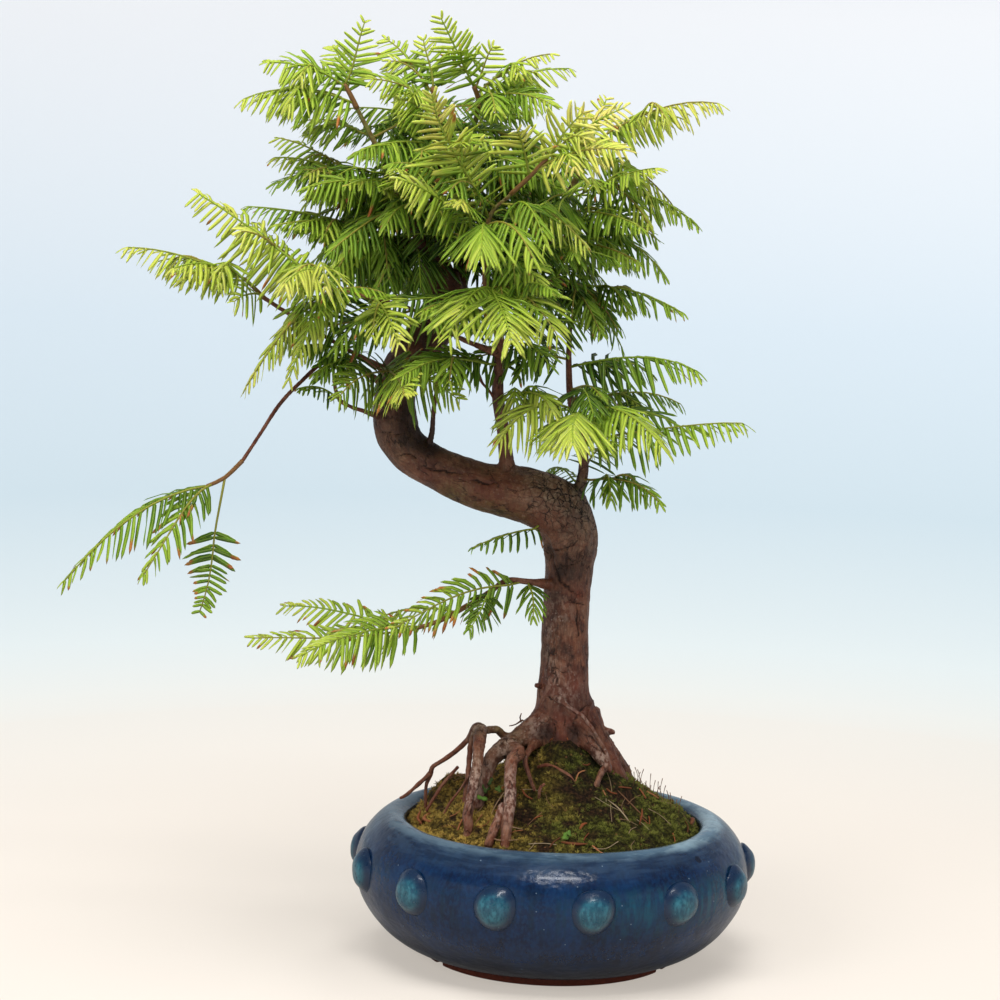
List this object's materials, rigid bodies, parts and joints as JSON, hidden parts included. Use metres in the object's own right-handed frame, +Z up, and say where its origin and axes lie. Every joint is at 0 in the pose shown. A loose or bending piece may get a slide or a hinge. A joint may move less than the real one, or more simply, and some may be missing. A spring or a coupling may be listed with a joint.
{
  "type": "dawn redwood bonsai",
  "caption": "Dawn redwood grown as a bonsai: bent red-brown trunk on arching roots, feathery two-ranked fronds, moss mound in a squat round blue-glazed pot with studs.",
  "frame": {"origin": "on the pot's axis, at the level of the flat face of the pot's foot", "axes": "+Z up along the pot's axis, -Y towards the front of the tree, +X to the right seen from the front"},
  "size_m": [0.333, 0.2334, 0.4517],
  "materials": {
    "pot_glaze": "deep blue glossy glaze, teal over the studs, paler and worn on the lip, bare red-brown foot",
    "screen_plastic": "matt black plastic mesh",
    "mossy_soil": "damp dark soil under tufted green and brown moss",
    "bark": "fibrous red-brown bark with long shallow fissures",
    "foliage": "soft satin leaves, yellow-green at the tips and darker inside"
  },
  "bodies": {
    "root": {"drain_screen": "screen_plastic", "frond_arm_left": "foliage", "frond_arm_low": "foliage", "frond_arm_thin": "foliage", "frond_arm_wide": "foliage", "frond_back_high": "foliage", "frond_back_left": "foliage", "frond_back_right": "foliage", "frond_core_front": "foliage", "frond_core_left": "foliage", "frond_core_right": "foliage", "frond_face_big": "foliage", "frond_face_left": "foliage", "frond_face_right": "foliage", "frond_face_top": "foliage", "frond_face_upper": "foliage", "frond_front_high": "foliage", "frond_front_left": "foliage", "frond_front_small": "foliage", "frond_left_big": "foliage", "frond_left_bush": "foliage", "frond_left_tuft": "foliage", "frond_low_inner": "foliage", "frond_low_small": "foliage", "frond_low_upper": "foliage", "frond_right_a": "foliage", "frond_right_b": "foliage", "frond_right_c": "foliage", "frond_right_d": "foliage", "frond_right_e": "foliage", "frond_stem_back": "foliage", "frond_stem_face": "foliage", "frond_stem_inner": "foliage", "frond_stem_long": "foliage", "frond_stem_low": "foliage", "frond_stem_rear": "foliage", "frond_stem_small": "foliage", "frond_stem_top": "foliage", "frond_under_bend": "foliage", "frond_upper_left": "foliage", "pot": "pot_glaze", "soil_mound": "mossy_soil", "spray_back_left": "foliage", "spray_back_low": "foliage", "spray_back_right": "foliage", "spray_drooping": "foliage", "spray_far_left": "foliage", "spray_front_shoot": "foliage", "spray_left": "foliage", "spray_left_low": "foliage", "spray_low": "foliage", "spray_mid_left": "foliage", "spray_mid_right": "foliage", "spray_top": "foliage", "spray_top_left": "foliage", "spray_top_mid": "foliage", "spray_top_right": "foliage", "spray_upper_left": "foliage", "trunk": "bark"}
  },
  "joints": []
}
